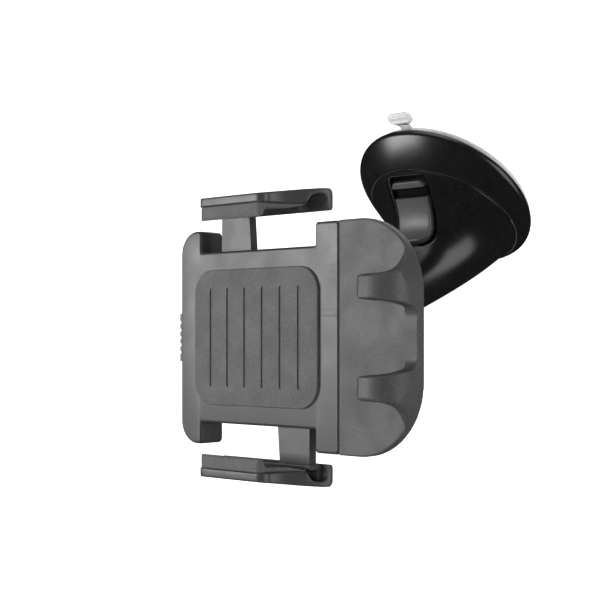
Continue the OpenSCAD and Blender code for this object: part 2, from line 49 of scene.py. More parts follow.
# ---------------------------------------------------------------- camera
# The camera stands in front of the mount, level with the phone's centre line and turned 44
# degrees to it, a long lens at half a metre.
camera = bpy.data.objects.new("camera", bpy.data.cameras.new("camera"))
scene.collection.objects.link(camera)
camera.location = (0.31193, -0.39916, -0.0547)
camera.rotation_euler = (math.radians(90), 0, math.radians(44.23))
camera.data.lens = 81.72
camera.data.sensor_width = 36
camera.data.shift_y = 0.0625
camera.data.clip_start = 0.02
scene.camera = camera

# ---------------------------------------------------------------- studio
# A pale floor that curves up into a backdrop, and soft boxes hung round the mount. The sweep
# glows a little, so that it stays pale, and isn't mirrored in the black shells.
scene.view_settings.view_transform = "Standard"
world = bpy.data.worlds.new("studio")
scene.world = world
world.use_nodes = True
world.node_tree.nodes["Background"].inputs["Color"].default_value = (0.5, 0.51, 0.53, 1)
world.node_tree.nodes["Background"].inputs["Strength"].default_value = 0.03

FLOOR_DROP = 0.27


def sweep(u, v):
    """The floor and backdrop: a flat circle of radius 2.2 m that turns up through a quarter
    circle of radius 1 m into a wall, all round."""
    angle = 2 * np.pi * u
    along = 4.6 * v
    bend = np.clip(along - 2.2, 0, np.pi / 2)
    radius = np.minimum(along, 2.2) + np.sin(bend)
    height = 1 - np.cos(bend) + np.maximum(along - 2.2 - np.pi / 2, 0)
    return np.stack([radius * np.cos(angle), radius * np.sin(angle), height - FLOOR_DROP], -1)


def grid_faces(rows, columns, closed_rows, closed_columns):
    """The four corners of every cell of a grid of points, wrapping round where it is closed."""
    i = np.arange(rows if closed_rows else rows - 1)[:, None]
    j = np.arange(columns if closed_columns else columns - 1)[None, :]
    i2, j2 = (i + 1) % rows, (j + 1) % columns
    quads = [i * columns + j, i2 * columns + j, i2 * columns + j2, i * columns + j2]
    return np.stack(np.broadcast_arrays(*quads), -1).reshape(-1, 4)


u, v = np.meshgrid(np.linspace(0, 1, 97)[:-1], np.linspace(0, 1, 80), indexing="ij")
floor_mesh = bpy.data.meshes.new("floor")
floor_faces = grid_faces(*u.shape, True, False).tolist()
floor_mesh.from_pydata(sweep(u, v).reshape(-1, 3).tolist(), [], floor_faces)
floor_mesh.polygons.foreach_set("use_smooth", np.ones(len(floor_mesh.polygons), bool))
floor = bpy.data.objects.new("floor", floor_mesh)
scene.collection.objects.link(floor)
paper = bpy.data.materials.new("backdrop_paper")
paper.use_nodes = True
shader = paper.node_tree.nodes["Principled BSDF"]
shader.inputs["Base Color"].default_value = (0.85, 0.85, 0.85, 1)
shader.inputs["Roughness"].default_value = 0.9
shader.inputs["Specular IOR Level"].default_value = 0.1
shader.inputs["Emission Color"].default_value = (1, 1, 1, 1)
shader.inputs["Emission Strength"].default_value = 0.86
floor_mesh.materials.append(paper)
floor.visible_glossy = False


LIGHTS_AIM = np.array([0.0, -0.03, -0.03])


def soft_box(name, azimuth, elevation, distance, width, height, power):
    """A rectangular soft light at an azimuth (0 is in front, 90 to the right) and elevation."""
    a, e = math.radians(azimuth), math.radians(elevation)
    back = np.array([math.sin(a) * math.cos(e), -math.cos(a) * math.cos(e), math.sin(e)])
    lamp = bpy.data.objects.new(name, bpy.data.lights.new(name, "AREA"))
    lamp.data.shape = "RECTANGLE"
    lamp.data.size, lamp.data.size_y = width, height
    lamp.data.energy = power
    place = LIGHTS_AIM + back * distance
    across = np.array([math.cos(a), math.sin(a), 0.0])
    upward = np.cross(back, across)
    axes = np.column_stack([across, upward, back, place])
    lamp.matrix_world = Matrix(np.vstack([axes, [0, 0, 0, 1]]))
    scene.collection.objects.link(lamp)


soft_box("front_left_box", -34, 3, 1.1, 0.75, 0.34, 9.0)
soft_box("right_box", 97, -1, 1.1, 0.75, 1.05, 7.5)
soft_box("top_box", 0, 80, 1.2, 0.9, 0.9, 5.0)
soft_box("back_box", 200, 35, 1.4, 0.8, 0.8, 5.0)

# ---------------------------------------------------------------- suction pad
# A soft disc of clear polyurethane, milky from its thickness, that grips the windscreen. A
# tab with two lobes stands out at the top, to peel it off.
MM = 0.001
FACE_TILT = math.radians(50.7)
DISC_UP = np.array([0, -math.sin(FACE_TILT), math.cos(FACE_TILT)])
DISC_OUT = np.array([0, -math.cos(FACE_TILT), -math.sin(FACE_TILT)])


def from_disc(p):
    """Points in the disc's frame (x, up the disc, out of its back) brought to the row frame."""
    p = np.asarray(p, float)
    return p[..., :1] * [1, 0, 0] + p[..., 1:2] * DISC_UP + p[..., 2:3] * DISC_OUT


def noise_group():
    """Grain and blotch masks in Object coordinates: a fine noise for the mould's spark-eroded
    grain, a coarse one for patches, and a stretched one for hairline marks."""
    group = bpy.data.node_groups.new("moulded_surface", "ShaderNodeTree")
    for name, value in (("Grain Size", 2200.0), ("Patch Size", 90.0), ("Hairline Size", 700.0)):
        socket = group.interface.new_socket(name, in_out="INPUT", socket_type="NodeSocketFloat")
        socket.default_value = value
    for name in ("Grain", "Patches", "Hairlines"):
        group.interface.new_socket(name, in_out="OUTPUT", socket_type="NodeSocketFloat")
    new, link = group.nodes.new, group.links.new
    inputs, outputs = new("NodeGroupInput"), new("NodeGroupOutput")
    place = new("ShaderNodeTexCoord")
    for row, (source, name, detail, stretch) in enumerate((
        ("Grain Size", "Grain", 2.0, (1, 1, 1)),
        ("Patch Size", "Patches", 4.0, (1, 1, 1)),
        ("Hairline Size", "Hairlines", 3.0, (0.06, 1, 1.4)),
    )):
        turn = new("ShaderNodeMapping")
        turn.inputs["Scale"].default_value = stretch
        turn.inputs["Rotation"].default_value = (0.2, 0.5, 0.35 * row)
        noise = new("ShaderNodeTexNoise")
        noise.inputs["Detail"].default_value = detail
        link(place.outputs["Object"], turn.inputs["Vector"])
        link(turn.outputs["Vector"], noise.inputs["Vector"])
        link(inputs.outputs[source], noise.inputs["Scale"])
        link(noise.outputs["Fac"], outputs.inputs[name])
    return group


moulded_surface = noise_group()


def spread(tree, source, low, high, first, last):
    """The part of a 0 to 1 mask between low and high, spread over first to last."""
    node = tree.nodes.new("ShaderNodeMapRange")
    node.inputs["From Min"].default_value = low
    node.inputs["From Max"].default_value = high
    node.inputs["To Min"].default_value = first
    node.inputs["To Max"].default_value = last
    tree.links.new(source, node.inputs["Value"])
    return node.outputs["Result"]


def finish_material(name, colours, roughness, bump, grain_size, patch_size, **fixed):
    """A material with two mottled colours, a range of roughness over patches and hairlines, and
    a grain bump of the given height in millimetres. fixed are the shader's own socket values."""
    made = bpy.data.materials.new(name)
    made.use_nodes = True
    tree = made.node_tree
    principled = tree.nodes["Principled BSDF"]
    surface = tree.nodes.new("ShaderNodeGroup")
    surface.node_tree = moulded_surface
    surface.inputs["Grain Size"].default_value = grain_size
    surface.inputs["Patch Size"].default_value = patch_size
    mix = tree.nodes.new("ShaderNodeMix")
    mix.data_type = "RGBA"
    tint_a, tint_b = [socket for socket in mix.inputs if socket.type == "RGBA"]
    tint_a.default_value, tint_b.default_value = (*colours[0], 1), (*colours[1], 1)
    tree.links.new(spread(tree, surface.outputs["Grain"], 0.35, 0.65, 0, 1), mix.inputs["Factor"])
    tinted = next(socket for socket in mix.outputs if socket.type == "RGBA")
    tree.links.new(tinted, principled.inputs["Base Color"])
    add = tree.nodes.new("ShaderNodeMath")
    add.operation = "ADD"
    patches = spread(tree, surface.outputs["Patches"], 0.35, 0.7, roughness[0], roughness[1])
    tree.links.new(patches, add.inputs[0])
    hairlines = spread(tree, surface.outputs["Hairlines"], 0.62, 0.75, 0, roughness[2])
    tree.links.new(hairlines, add.inputs[1])
    tree.links.new(add.outputs["Value"], principled.inputs["Roughness"])
    if bump:
        relief = tree.nodes.new("ShaderNodeBump")
        relief.inputs["Distance"].default_value = bump * MM
        tree.links.new(surface.outputs["Grain"], relief.inputs["Height"])
        tree.links.new(relief.outputs["Normal"], principled.inputs["Normal"])
    for socket, value in fixed.items():
        principled.inputs[socket.replace("_", " ")].default_value = value
    return made


clear_pad = finish_material(
    "milky_polyurethane", ((0.5, 0.51, 0.52), (0.58, 0.59, 0.6)), (0.3, 0.42, 0.05), 0.01, 900,
    120, Transmission_Weight=0.2, IOR=1.48,
)


def make_piece(name, points, faces, material, body, slot, replaced=(), sharp=35):
    """A mesh from points in millimetres, with outward normals and its edges sharp past an angle.
    It rides on a body and stands for CAD nodes. The slot argument is not used."""
    mesh = bpy.data.meshes.new(name)
    mesh.from_pydata((np.asarray(points, float).reshape(-1, 3) * MM).tolist(), [], faces)
    shape = bmesh.new()
    shape.from_mesh(mesh)
    bmesh.ops.remove_doubles(shape, verts=shape.verts, dist=1e-7)
    bmesh.ops.recalc_face_normals(shape, faces=shape.faces)
    shape.to_mesh(mesh)
    shape.free()
    mesh.polygons.foreach_set("use_smooth", np.ones(len(mesh.polygons), bool))
    mesh.set_sharp_from_angle(angle=math.radians(sharp))
    piece = bpy.data.objects.new(name, mesh)
    scene.collection.objects.link(piece)
    if material is not None:
        mesh.materials.append(material)
    if body is not None:
        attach(piece, body)
    if replaced:
        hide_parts(*replaced)
    return piece


def arc(centre, radius, start, stop, steps):
    """Points of a circle's arc from one angle to another, in degrees."""
    a = np.radians(np.linspace(start, stop, steps))
    return np.stack([centre[0] + radius * np.cos(a), centre[1] + radius * np.sin(a)], -1)


def turned(profile, steps):
    """A closed outline of (radius, height) points carried round the axis."""
    a = np.linspace(0, 2 * np.pi, steps + 1)[:-1][:, None]
    r, h = profile[:, 0][None, :], profile[:, 1][None, :]
    return np.stack([r * np.cos(a), r * np.sin(a), h + 0 * a], -1)


def rounded(outline, radii, steps=8):
    """A polygon with each corner replaced by an arc of its radius, tangent to both sides."""
    p = np.asarray(outline, float)
    radii = np.broadcast_to(np.asarray(radii, float), len(p))
    made = []
    for before, corner, after, radius in zip(np.roll(p, 1, 0), p, np.roll(p, -1, 0), radii):
        if radius <= 0:
            made.append(corner[None])
            continue
        a, b = before - corner, after - corner
        a, b = a / np.linalg.norm(a), b / np.linalg.norm(b)
        half = math.acos(np.clip(a @ b, -1, 1)) / 2
        middle = corner + (a + b) / np.linalg.norm(a + b) * radius / math.sin(half)
        reach = radius / math.tan(half)
        first, last = corner + a * reach - middle, corner + b * reach - middle
        start = math.atan2(first[1], first[0])
        turn = (math.atan2(last[1], last[0]) - start + math.pi) % (2 * math.pi) - math.pi
        t = start + turn * np.linspace(0, 1, steps + 1)
        made.append(middle + radius * np.stack([np.cos(t), np.sin(t)], -1))
    return np.concatenate(made)


def inset_of(outline, depth):
    """An outline moved inwards along its own normals, by the mean of its two sides' directions."""
    ahead = np.roll(outline, -1, 0) - outline
    ahead /= np.linalg.norm(ahead, axis=1)[:, None] + 1e-12
    behind = np.roll(ahead, 1, 0)
    tangent = ahead + behind
    tangent /= np.linalg.norm(tangent, axis=1)[:, None] + 1e-12
    normal = np.stack([-tangent[:, 1], tangent[:, 0]], -1)
    x, y = outline.T
    turning = np.sign(np.sum(x * np.roll(y, -1) - y * np.roll(x, -1)))
    share = np.clip(np.sum(normal * np.stack([-ahead[:, 1], ahead[:, 0]], -1), 1), 0.5, 1)
    return outline + turning * normal * (depth / share)[:, None]


def slab(outline, low, high, edge_low, edge_high, steps=5):
    """A flat outline thickened from low to high, with a quarter-round on each rim. Returns
    points (x, y, height) and faces, the caps as single faces."""
    turn = np.linspace(0, np.pi / 2, steps)
    insets = np.concatenate([edge_low * (1 - np.sin(turn)), edge_high * (1 - np.cos(turn))])
    heights = np.concatenate(
        [low + edge_low * (1 - np.cos(turn)), high - edge_high * (1 - np.sin(turn))]
    )
    rings = [
        np.column_stack([inset_of(outline, i), np.full(len(outline), h)])
        for i, h in zip(insets, heights)
    ]
    n, m = len(outline), len(rings)
    faces = grid_faces(m, n, False, True).tolist()
    faces += [list(range(n - 1, -1, -1)), list(range((m - 1) * n, m * n))]
    return np.concatenate(rings), faces


def joined(*parts):
    """Several (points, faces) as one."""
    points, faces, base = [], [], 0
    for p, f in parts:
        p = np.asarray(p, float).reshape(-1, 3)
        points.append(p)
        faces += [[k + base for k in face] for face in f]
        base += len(p)
    return np.concatenate(points), faces


pad_profile = np.concatenate([
    [[0.01, 0], [12, 0], [24, 0]], arc((31.2, 0.8), 0.8, -90, 90, 16),
    [[29, 1.75], [26, 1.9], [14, 2], [0.01, 2]],
])
pad_rings = turned(pad_profile, 192)
pad_faces = grid_faces(192, len(pad_profile), True, True).tolist()
tab_outline = rounded(
    [
        [-2.9, 29], [2.9, 29], [2.0, 34.4], [5.3, 34.6],
        [5.3, 39.4], [-5.3, 39.4], [-5.3, 34.6], [-2.0, 34.4],
    ],
    [0, 0, 1.2, 2.3, 2.3, 2.3, 2.3, 1.2],
)
tab = slab(tab_outline, 0.15, 1.45, 0.45, 0.55)
RIDGE_L, RIDGE_W = 4, 0.55
ridges = []
for y in (35.9, 38):
    low_y, high_y = y - RIDGE_W, y + RIDGE_W
    outline = [[-RIDGE_L, low_y], [RIDGE_L, low_y], [RIDGE_L, high_y], [-RIDGE_L, high_y]]
    ridges.append(slab(rounded(outline, 0.5), 1.3, 1.95, 0, 0.45))
TAB_SHIFT = [1, 0, 0]
tab_parts = [(p + TAB_SHIFT, f) for p, f in (tab, *ridges)]
points, faces = joined((pad_rings, pad_faces), *tab_parts)
make_piece(
    "suction_pad_soft", from_disc(points), faces, clear_pad, "base", "clear_pad", ["suction_pad"]
)

# ---------------------------------------------------------------- dome of the base
# The gloss black cover over the suction mechanism, a cap of a sphere with a rounded rim. Its
# mouth ends in a fine rounded seam, where the arm's flare starts.
RIM_R, RIM_ROUND, RIM_HEIGHT, DOME_DROP = 33.8, 2.15, 4.4, 27.0
DOME_R = math.hypot(RIM_R - RIM_ROUND, RIM_HEIGHT + DOME_DROP) + RIM_ROUND
SEAM_R, SEAM_TILT = 27.84, math.radians(6.4)
SEAM_OFFSET = math.sqrt(DOME_R**2 - SEAM_R**2)
gloss_shell = finish_material(
    "gloss_black_shell", ((0.0035, 0.0035, 0.004), (0.005, 0.005, 0.0056)),
    (0.26, 0.29, 0.0), 0.0, 500, 60, Specular_IOR_Level=0.5,
)
# lighter grey, rougher finish for the seam's lip and the rolled edge round the window: a painted
# highlight along those edges
seam_highlight_paint = finish_material(
    "painted_seam_highlight", ((0.07, 0.07, 0.075), (0.09, 0.09, 0.095)), (0.45, 0.5, 0.0), 0.0, 900, 90,
)
# near-black matt finish for the walls cut into the arm's window and for the lever's finger groove:
# painted shade in those recesses
painted_shade_wall = finish_material(
    "painted_shade_wall", ((0.002, 0.002, 0.002), (0.003, 0.003, 0.003)), (0.8, 0.85, 0.0), 0.0, 900, 90,
    Specular_IOR_Level=0.1,
)


def dome_skin(turn, seam_gap=0.14, lip=0.3, wall=2.0):
    """Rings of the dome for azimuths turn: flat under the rim, a quarter-round at the rim, the
    sphere up to its cut by the seam's tilted plane, a rounded lip, and back down inside."""
    rim = math.atan2(RIM_R - RIM_ROUND, RIM_HEIGHT + DOME_DROP)
    a, b = math.cos(SEAM_TILT), -math.sin(SEAM_TILT) * np.sin(turn)
    top = np.arctan2(b, a) + np.arccos((SEAM_OFFSET - seam_gap) / DOME_R / np.hypot(a, b))
    under = [(28.6, 3.2), (28.6, 2.25), (30.5, 2.25)]
    middle = (RIM_R - RIM_ROUND, RIM_HEIGHT)
    rows = []
    for r, h in [*under, *arc(middle, RIM_ROUND, -90, 90 - math.degrees(rim), 26)]:
        rows.append(np.stack([0 * turn + r, 0 * turn + h], -1))
    lip_angle = lip / DOME_R
    for s in np.linspace(0, 1, 60)[1:]:
        polar = rim + (top + lip_angle - rim) * s
        rows.append(np.stack([DOME_R * np.sin(polar), DOME_R * np.cos(polar) - DOME_DROP], -1))
    for q in np.radians([22.5, 45, 67.5, 90]):
        radius = DOME_R - lip * (1 - math.cos(q))
        polar = top + lip_angle * (1 - math.sin(q))
        rows.append(np.stack([radius * np.sin(polar), radius * np.cos(polar) - DOME_DROP], -1))
    for radius, share in ((DOME_R - wall, 1.0), (DOME_R - wall, 0.0)):
        polar = rim + 0.02 + (top - rim - 0.02) * share
        rows.append(np.stack([radius * np.sin(polar), radius * np.cos(polar) - DOME_DROP], -1))
    profile = np.stack(rows, 1)
    r, h = profile[..., 0], profile[..., 1]
    return np.stack([r * np.cos(turn)[:, None], r * np.sin(turn)[:, None], h], -1)


turn = np.linspace(0, 2 * np.pi, 321)[:-1]
skin = dome_skin(turn)
dome_faces = grid_faces(*skin.shape[:2], True, True).tolist()
dome = make_piece(
    "dome_shell", from_disc(skin), dome_faces, gloss_shell, "base", "gloss_shell", ["base_dome"],
    sharp=50,
)
# the faces of the seam's lip take the lighter grey: a painted highlight line along the seam
dome.data.materials.append(seam_highlight_paint)
LIP_ROWS = (88, 90)
row_of_face = np.arange(len(dome.data.polygons)) % skin.shape[1]
seam_highlight_faces = (row_of_face >= LIP_ROWS[0]) & (row_of_face <= LIP_ROWS[1])
dome.data.polygons.foreach_set("material_index", seam_highlight_faces.astype(np.int32))

# ---------------------------------------------------------------- arm
# One hollow moulding that flares from the seam down to a neck behind the cradle. Its top and
# bottom lines are two curves in the plane of symmetry, and its sections are circles.
STUD_SLOPE = math.radians(17.85)
STUD_DIR = np.array([0, math.cos(STUD_SLOPE), math.sin(STUD_SLOPE)])
STUD_UP = np.array([0, -math.sin(STUD_SLOPE), math.cos(STUD_SLOPE)])
BALL = np.array([0, -76.6, -54.7])
ARM_END, ARM_END_R = 18.5, 9.0
seam_mid = np.array(
    [0, -SEAM_OFFSET * math.sin(SEAM_TILT), SEAM_OFFSET * math.cos(SEAM_TILT) - DOME_DROP]
)
seam_side = np.array([0, math.cos(SEAM_TILT), math.sin(SEAM_TILT)])
SEAM_NORMAL = from_disc([0, -math.sin(SEAM_TILT), math.cos(SEAM_TILT)])
end_mid = BALL + ARM_END * STUD_DIR
ARM_TOP = np.array([
    from_disc(seam_mid + SEAM_R * seam_side),
    from_disc(seam_mid + SEAM_R * seam_side + [0, -16.2, 9.9]),
    end_mid + ARM_END_R * STUD_UP + 57.5 * STUD_DIR, end_mid + ARM_END_R * STUD_UP,
])
ARM_LOW = np.array([
    from_disc(seam_mid - SEAM_R * seam_side),
    from_disc(seam_mid - SEAM_R * seam_side + [0, 1.5, 1.4]),
    end_mid - ARM_END_R * STUD_UP + 74.5 * STUD_DIR, end_mid - ARM_END_R * STUD_UP,
])


def bezier(p, t):
    """A cubic Bezier curve at parameters t."""
    t = np.asarray(t, float)[..., None]
    back = 1 - t
    return back**3 * p[0] + 3 * t * back**2 * p[1] + 3 * t * t * back * p[2] + t**3 * p[3]


def arm_rings(t, inset, turn):
    """Circles across the arm at parameters t, each with the line from the bottom curve to the
    top curve as a diameter, made smaller by inset."""
    top, low = bezier(ARM_TOP, t), bezier(ARM_LOW, t)
    centre, half = (top + low) / 2, (top - low) / 2
    length = np.linalg.norm(half, axis=-1, keepdims=True)
    radius = length - np.asarray(inset, float).reshape(-1, 1)
    side = np.array([1.0, 0, 0])
    c, s = np.cos(turn)[:, None], np.sin(turn)[:, None]
    return centre[:, None] + radius[:, None] * (c * side + s * (half / length)[:, None])


ARM_WALL, END_ROUND, HOLE_R, HOLE_DEPTH = 2.2, 0.9, 3.7, 2.6
SEAM_LIP = ((ARM_WALL, 0.14), (0.36, 0.14), (0.2, 0.17), (0.07, 0.26))
turn = np.linspace(0, 2 * np.pi, 257)[:-1]
t_out = np.linspace(0, 1, 190) ** 1.25
outer = arm_rings(t_out[1:], np.zeros(len(t_out) - 1), turn)
start = [arm_rings([0.0], [inset], turn) + rise * SEAM_NORMAL for inset, rise in SEAM_LIP]
end = [
    arm_rings([1.0], [END_ROUND * (1 - math.cos(q))], turn) - END_ROUND * math.sin(q) * STUD_DIR
    for q in np.radians([0, 22, 45, 67, 90])
]
hole_ring = arm_rings([1.0], [ARM_END_R - HOLE_R], turn)
inner = arm_rings(np.linspace(0.93, 0.02, 60), np.full(60, ARM_WALL), turn)
arm = np.concatenate(
    [*start, outer[:-1], *end, hole_ring, hole_ring + HOLE_DEPTH * STUD_DIR, inner]
)
arm_faces = grid_faces(*arm.shape[:2], True, True).tolist()
arm_shell = make_piece(
    "arm_shell", arm, arm_faces, gloss_shell, "base", "gloss_shell", ["arm_housing"], sharp=50,
)


def on_top_line(t, depth, x):
    """A point that lies a depth under the arm's top line at parameter t, and x to the side."""
    p = bezier(ARM_TOP, t)
    ahead = bezier(ARM_TOP, np.asarray(t) + 0.004) - p
    ahead /= np.linalg.norm(ahead, axis=-1, keepdims=True)
    inward = np.stack([0 * ahead[..., 0], -ahead[..., 2], ahead[..., 1]], -1)
    depth, x = np.asarray(depth, float)[..., None], np.asarray(x, float)[..., None]
    return p + depth * inward + x * [1.0, 0, 0]


# ---------------------------------------------------------------- window and lever
# The window in the arm's front and, lying in it, the satin lever that pulls the pad down. The
# lever has a lip at its top with a finger groove under it, and follows the arm's curve.
SLOT_FROM, SLOT_TO, SLOT_HALF = 0.03, 0.6, 9.2
LEVER_FROM, LEVER_TO, LEVER_HALF = 0.075, 0.545, 7.2


def top_length(t):
    """Length of the arm's top line from its start to parameters t."""
    fine = np.linspace(0, 1, 2001)
    p = bezier(ARM_TOP, fine)
    length = np.concatenate([[0], np.cumsum(np.linalg.norm(np.diff(p, axis=0), axis=1))])
    return np.interp(t, fine, length), fine, length


def round_ended(t_from, t_to, half, radius_top, radius_low, steps):
    """Stations along the top line, the half-width at each and its distance from the first, of a
    strip whose four corners are rounded; the stations crowd towards both ends."""
    (first, last), fine, length = top_length([t_from, t_to])
    s = first + (last - first) * (1 - np.cos(np.pi * np.linspace(0, 1, steps))) / 2
    width = np.full(steps, float(half))
    for distance, radius in ((s - first, radius_top), (last - s, radius_low)):
        into = np.clip(radius - distance, 0, radius)
        width -= radius - np.sqrt(np.maximum(radius**2 - into**2, 0))
    return np.interp(s, length, fine), width, s - first


SLOT_STEPS = 60
slot_t, slot_w, _ = round_ended(SLOT_FROM, SLOT_TO, SLOT_HALF, 3.5, 6.5, SLOT_STEPS)
loop = np.array([
    [-1, -4], [-0.33, -4], [0.33, -4], [1, -4], [1, 1],
    [1, 5], [0.33, 5], [-0.33, 5], [-1, 5], [-1, 1],
])
cutter_points = on_top_line(
    slot_t[:, None] + 0 * loop[:, 0], loop[:, 1] + 0 * slot_w[:, None],
    slot_w[:, None] * loop[:, 0],
)
n_loop = len(loop)
cutter_faces = grid_faces(SLOT_STEPS, n_loop, False, True).tolist()
cutter_faces += [
    list(range(n_loop)), list(range((SLOT_STEPS - 1) * n_loop, SLOT_STEPS * n_loop)),
]


def carve(piece, operation, points, faces, lining=None, solver="EXACT"):
    """piece cut by, or kept inside, the solid of points and faces; the change is applied. The
    new walls take the material lining, if there is one."""
    tool = make_piece("tool", points, faces, lining, None, None)
    modifier = piece.modifiers.new("carve", "BOOLEAN")
    modifier.operation = operation
    modifier.solver = solver
    modifier.material_mode = "TRANSFER" if lining else "INDEX"
    modifier.object = tool
    apply_modifiers(piece)
    bpy.data.objects.remove(tool)


def apply_modifiers(piece, sharp=50):
    """The piece's mesh with its modifiers worked in, smooth but for edges past an angle."""
    bpy.context.view_layer.update()
    evaluated = piece.evaluated_get(bpy.context.evaluated_depsgraph_get())
    mesh = bpy.data.meshes.new_from_object(evaluated)
    piece.modifiers.clear()
    piece.data = mesh
    mesh.polygons.foreach_set("use_smooth", np.ones(len(mesh.polygons), bool))
    mesh.set_sharp_from_angle(angle=math.radians(sharp))


# the window's cut walls take the near-black painted shade
carve(arm_shell, "DIFFERENCE", cutter_points, cutter_faces, painted_shade_wall, "MANIFOLD")

# the rolled edge round the window, in the lighter grey of the painted highlight
EDGE_R = 0.3
edge_t = np.concatenate([slot_t, slot_t[::-1]])
edge_x = np.concatenate([slot_w, -slot_w[::-1]])


def arm_surface_depth(t, x):
    """How far under the top line the arm's round section lies at a distance x to the side."""
    radius = np.linalg.norm(bezier(ARM_TOP, t) - bezier(ARM_LOW, t), axis=-1) / 2
    return radius - np.sqrt(np.maximum(radius**2 - x**2, 0))


def tube(path, radius, sides):
    """A round tube of a radius along a closed path of points."""
    ahead = np.roll(path, -1, 0) - np.roll(path, 1, 0)
    ahead /= np.linalg.norm(ahead, axis=1)[:, None] + 1e-12
    side = np.cross(ahead, np.array([0.3, -0.9, 0.2]))
    side /= np.linalg.norm(side, axis=1)[:, None] + 1e-12
    other = np.cross(ahead, side)
    a = np.linspace(0, 2 * np.pi, sides + 1)[:-1]
    ring = np.cos(a)[None, :, None] * side[:, None] + np.sin(a)[None, :, None] * other[:, None]
    return path[:, None] + radius * ring


edge_path = on_top_line(edge_t, arm_surface_depth(edge_t, edge_x) + EDGE_R + 0.02, edge_x)
edge_path = edge_path[np.linalg.norm(edge_path - np.roll(edge_path, 1, 0), axis=1) > 1e-4]
rim = tube(edge_path, EDGE_R, 10)
rim_faces = grid_faces(*rim.shape[:2], True, True).tolist()
make_piece("window_edge", rim, rim_faces, seam_highlight_paint, "base", "gloss_shell")

satin_lever = finish_material(
    "satin_black_lever", ((0.036, 0.037, 0.04), (0.046, 0.0475, 0.051)), (0.4, 0.46, 0.04),
    0.004, 2600, 140,
)


LIP_LENGTH, GROOVE_LENGTH = 2.3, 3.3


def lever_blade():
    """The lever's blade: rings across it at stations along the arm's top line. The outer face
    is nearly flat, drops into a finger groove under the lip and steps back up below it; all
    edges are rounded. Returns the rings and each one's distance from the lip's end."""
    t, width, s = round_ended(LEVER_FROM, LEVER_TO, LEVER_HALF, 2.2, 5.2, 120)
    length = s[-1]
    end = np.minimum(s, length - s)
    edge = 0.55
    roll = edge - np.sqrt(np.maximum(edge**2 - np.clip(edge - end, 0, edge) ** 2, 0))
    floor = 2.3
    drop = np.clip((s - LIP_LENGTH) / 0.5, 0, 1)
    rise = np.clip((s - LIP_LENGTH - GROOVE_LENGTH) / 0.7, 0, 1)
    groove = floor * drop * drop * (3 - 2 * drop) * (1 - rise * rise * (3 - 2 * rise))
    outer_depth = 0.15 + roll + groove
    inner_depth = np.maximum(2.7, outer_depth + 1.2) - roll
    inner_depth = np.maximum(inner_depth, outer_depth + 0.3)
    q = np.radians(np.linspace(0, 90, 6))
    half = np.maximum(width, 0.3)
    flat = half - edge
    left = [(-(flat + edge * math.sin(a)), edge * (1 - math.cos(a))) for a in q[::-1]]
    right = [(flat + edge * math.sin(a), edge * (1 - math.cos(a))) for a in q]
    columns = [(x, outer_depth + d) for x, d in left]
    columns += [(flat * x, outer_depth) for x in np.linspace(-1, 1, 22)[1:-1]]
    columns += [(x, outer_depth + d) for x, d in right]
    columns += [(half - 0.1, inner_depth), (0 * half, inner_depth), (-(half - 0.1), inner_depth)]
    x = np.stack([c[0] for c in columns], 1)
    depth = np.stack([np.broadcast_to(c[1], half.shape) for c in columns], 1)
    # the face is set back at its sides as the arm's round section is, to a third
    set_back = 0.35 * arm_surface_depth(t, LEVER_HALF)[:, None]
    depth = depth + set_back * (x / LEVER_HALF) ** 2
    return on_top_line(t[:, None] + 0 * x, depth, x), s


blade, blade_s = lever_blade()
n_blade = blade.shape[1]
blade_faces = grid_faces(*blade.shape[:2], False, True).tolist()
blade_faces += [
    list(range(n_blade)), list(range((len(blade) - 1) * n_blade, len(blade) * n_blade)),
]
PIVOT = np.array([1.8, 23.2])
HUB_R, CHEEK_IN, CHEEK_OUT = 3.0, 2.5, 4.7
CRANK, CRANK_TURN = 2, math.radians(142.5)


def across_disc(outline, low, high, edge):
    """An outline in the disc's plane of symmetry thickened along x, its ends rounded."""
    p, f = slab(outline, low, high, edge, edge)
    return from_disc(np.stack([p[:, 2], p[:, 0], p[:, 1]], -1)), f


cheek_web = rounded([[1.3, 20.3], [9.4, 17.8], [8.4, 21.6], [4.2, 25.0]], [0, 0.3, 0.3, 0])
cheeks = []
for low, high in ((-CHEEK_OUT, -CHEEK_IN), (CHEEK_IN, CHEEK_OUT)):
    cheeks.append(across_disc(arc(PIVOT, HUB_R, 0, 360, 49)[:-1], low, high, 0.2))
    cheeks.append(across_disc(cheek_web, low, high, 0.2))
crank_at = PIVOT + CRANK * np.array([math.cos(CRANK_TURN), math.sin(CRANK_TURN)])
eccentric = across_disc(arc(crank_at, HUB_R, 0, 360, 65)[:-1], -2.6, 2.6, 0)
points, faces = joined((blade, blade_faces), *cheeks, eccentric)
lever = make_piece(
    "lever_blade", points, faces, satin_lever, "lever", "satin_lever", ["suction_lever"]
)
# the groove's own faces take the near-black painted shade; faces past the blade's rings count as
# its far end
lever.data.materials.append(painted_shade_wall)
station_of_face = np.arange(len(lever.data.polygons)) // n_blade
face_s = np.append(blade_s, np.full(station_of_face.max(), blade_s[-1]))[station_of_face]
groove_shade_faces = (face_s > LIP_LENGTH + 0.05) & (face_s < LIP_LENGTH + GROOVE_LENGTH + 0.3)
lever.data.polygons.foreach_set("material_index", groove_shade_faces.astype(np.int32))

# ---------------------------------------------------------------- cradle covers
# Two satin black trays that close on each other behind the phone. The corners on the left are
# rounded, and the top and bottom have a notch that a clamp closes into.
CRADLE = np.array([0, -104.3, -54.7])
BODY_L, BODY_H, LEFT_CORNER_R, NOTCH_HALF, NOTCH_Z, WALL = 72.0, 70.4, 7.5, 26.0, 28.0, 1.8
FRONT_Y, SPLIT_Y, BACK_Y, HALF_GAP = 5.2, 10.7, 15.9, 0.06
satin_shell = finish_material(
    "satin_black_shell", ((0.02, 0.0205, 0.022), (0.029, 0.0295, 0.032)), (0.36, 0.45, 0.07),
    0.008, 2400, 110,
)


